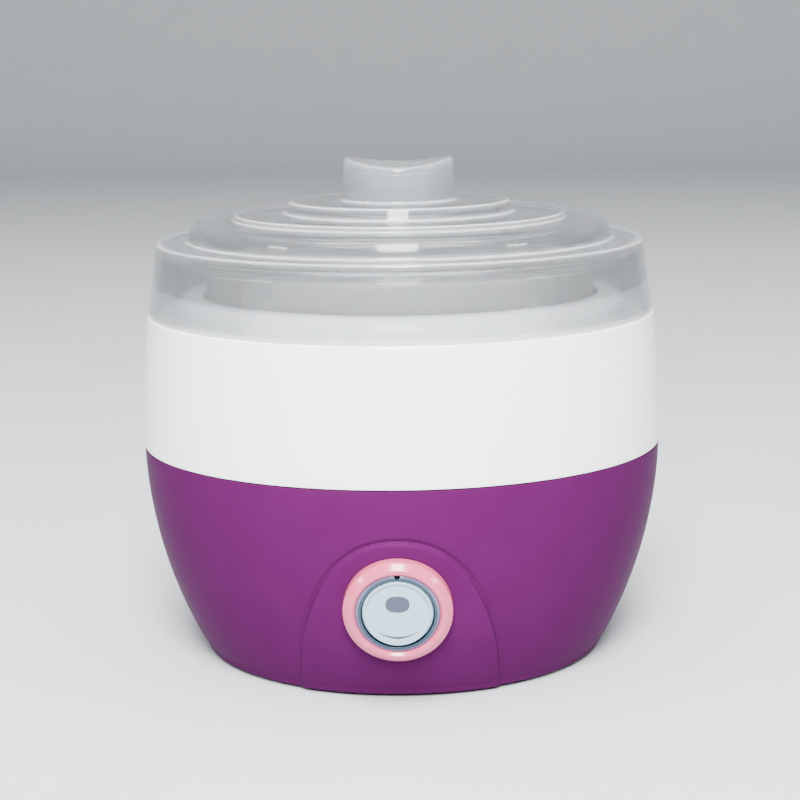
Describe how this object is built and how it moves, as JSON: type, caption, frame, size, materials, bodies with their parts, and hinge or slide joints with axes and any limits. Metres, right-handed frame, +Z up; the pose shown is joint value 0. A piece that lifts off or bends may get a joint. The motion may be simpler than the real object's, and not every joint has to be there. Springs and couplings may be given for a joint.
{
  "type": "yogurt maker",
  "caption": "Barrel-shaped household yogurt maker with a clear stepped cover, white and purple housing, steel pot with its own lid, and a round push-button control.",
  "frame": {"origin": "on the body's vertical axis, at the level the feet stand on", "axes": "+Z up along the body's axis, -Y towards the side with the control, +X to the right seen from the front"},
  "size_m": [0.1652, 0.168, 0.1575],
  "materials": {
    "clear_lid": "clear moulded polystyrene, polished",
    "inner_lid": "translucent polypropylene",
    "housing": "white moulded polypropylene",
    "base": "purple moulded polypropylene, satin",
    "steel": "drawn stainless steel",
    "aluminium": "stamped sheet",
    "zinc": "zinc-plated steel",
    "silicone": "white silicone sheet",
    "rubber": "black moulded rubber",
    "ceramic": "heater ceramic",
    "sleeve": "woven glass-fibre sleeve",
    "board": "green laminate circuit board",
    "black": "black nylon",
    "led": "red LED epoxy",
    "terminal": "natural nylon",
    "wire": "silicone wire insulation",
    "bezel": "pink moulded ABS, glossy",
    "ring": "blue-grey translucent polycarbonate",
    "button": "pale grey moulded ABS"
  },
  "bodies": {
    "housing": {"base_shell": "base", "bezel": "bezel", "board_screw_1": "zinc", "board_screw_2": "zinc", "clamp_screw_1": "zinc", "clamp_screw_2": "zinc", "clip_screw": "zinc", "cord_gland": "rubber", "foot_1": "rubber", "foot_2": "rubber", "foot_3": "rubber", "foot_4": "rubber", "fuse_clip": "zinc", "heater_clamp": "zinc", "heater_plate": "aluminium", "housing_screw_1": "zinc", "housing_screw_2": "zinc", "housing_screw_3": "zinc", "housing_screw_4": "zinc", "indicator_board": "board", "led": "led", "light_ring": "ring", "plate_screw_1": "zinc", "plate_screw_2": "zinc", "plate_screw_3": "zinc", "plate_seal": "silicone", "ptc_heater": "ceramic", "push_switch": "black", "resistor": "terminal", "terminal_block": "terminal", "thermal_fuse": "sleeve", "upper_housing": "housing", "wire_board": "wire", "wire_fuse": "wire", "wire_heater": "wire", "wire_link": "wire"},
    "pot": {"inner_pot": "steel"},
    "pot_lid": {"inner_lid": "inner_lid"},
    "cover": {"outer_lid": "clear_lid"},
    "button": {"start_button": "button", "switch_plunger": "black"}
  },
  "joints": [
    {"name": "pot_lift", "type": "slide", "parent": "housing", "child": "pot", "axis": [0, 0, 1], "range_m": [0, 0.1]},
    {"name": "inner_lid_lift", "type": "slide", "parent": "pot", "child": "pot_lid", "axis": [0, 0, 1], "range_m": [0, 0.04]},
    {"name": "outer_lid_lift", "type": "slide", "parent": "pot_lid", "child": "cover", "axis": [0, 0, 1], "range_m": [0, 0.06]},
    {"name": "button_press", "type": "slide", "parent": "housing", "child": "button", "axis": [0, 0.9799, 0.1994], "range_m": [0, 0.0012], "stiffness_N_per_m": 600}
  ]
}
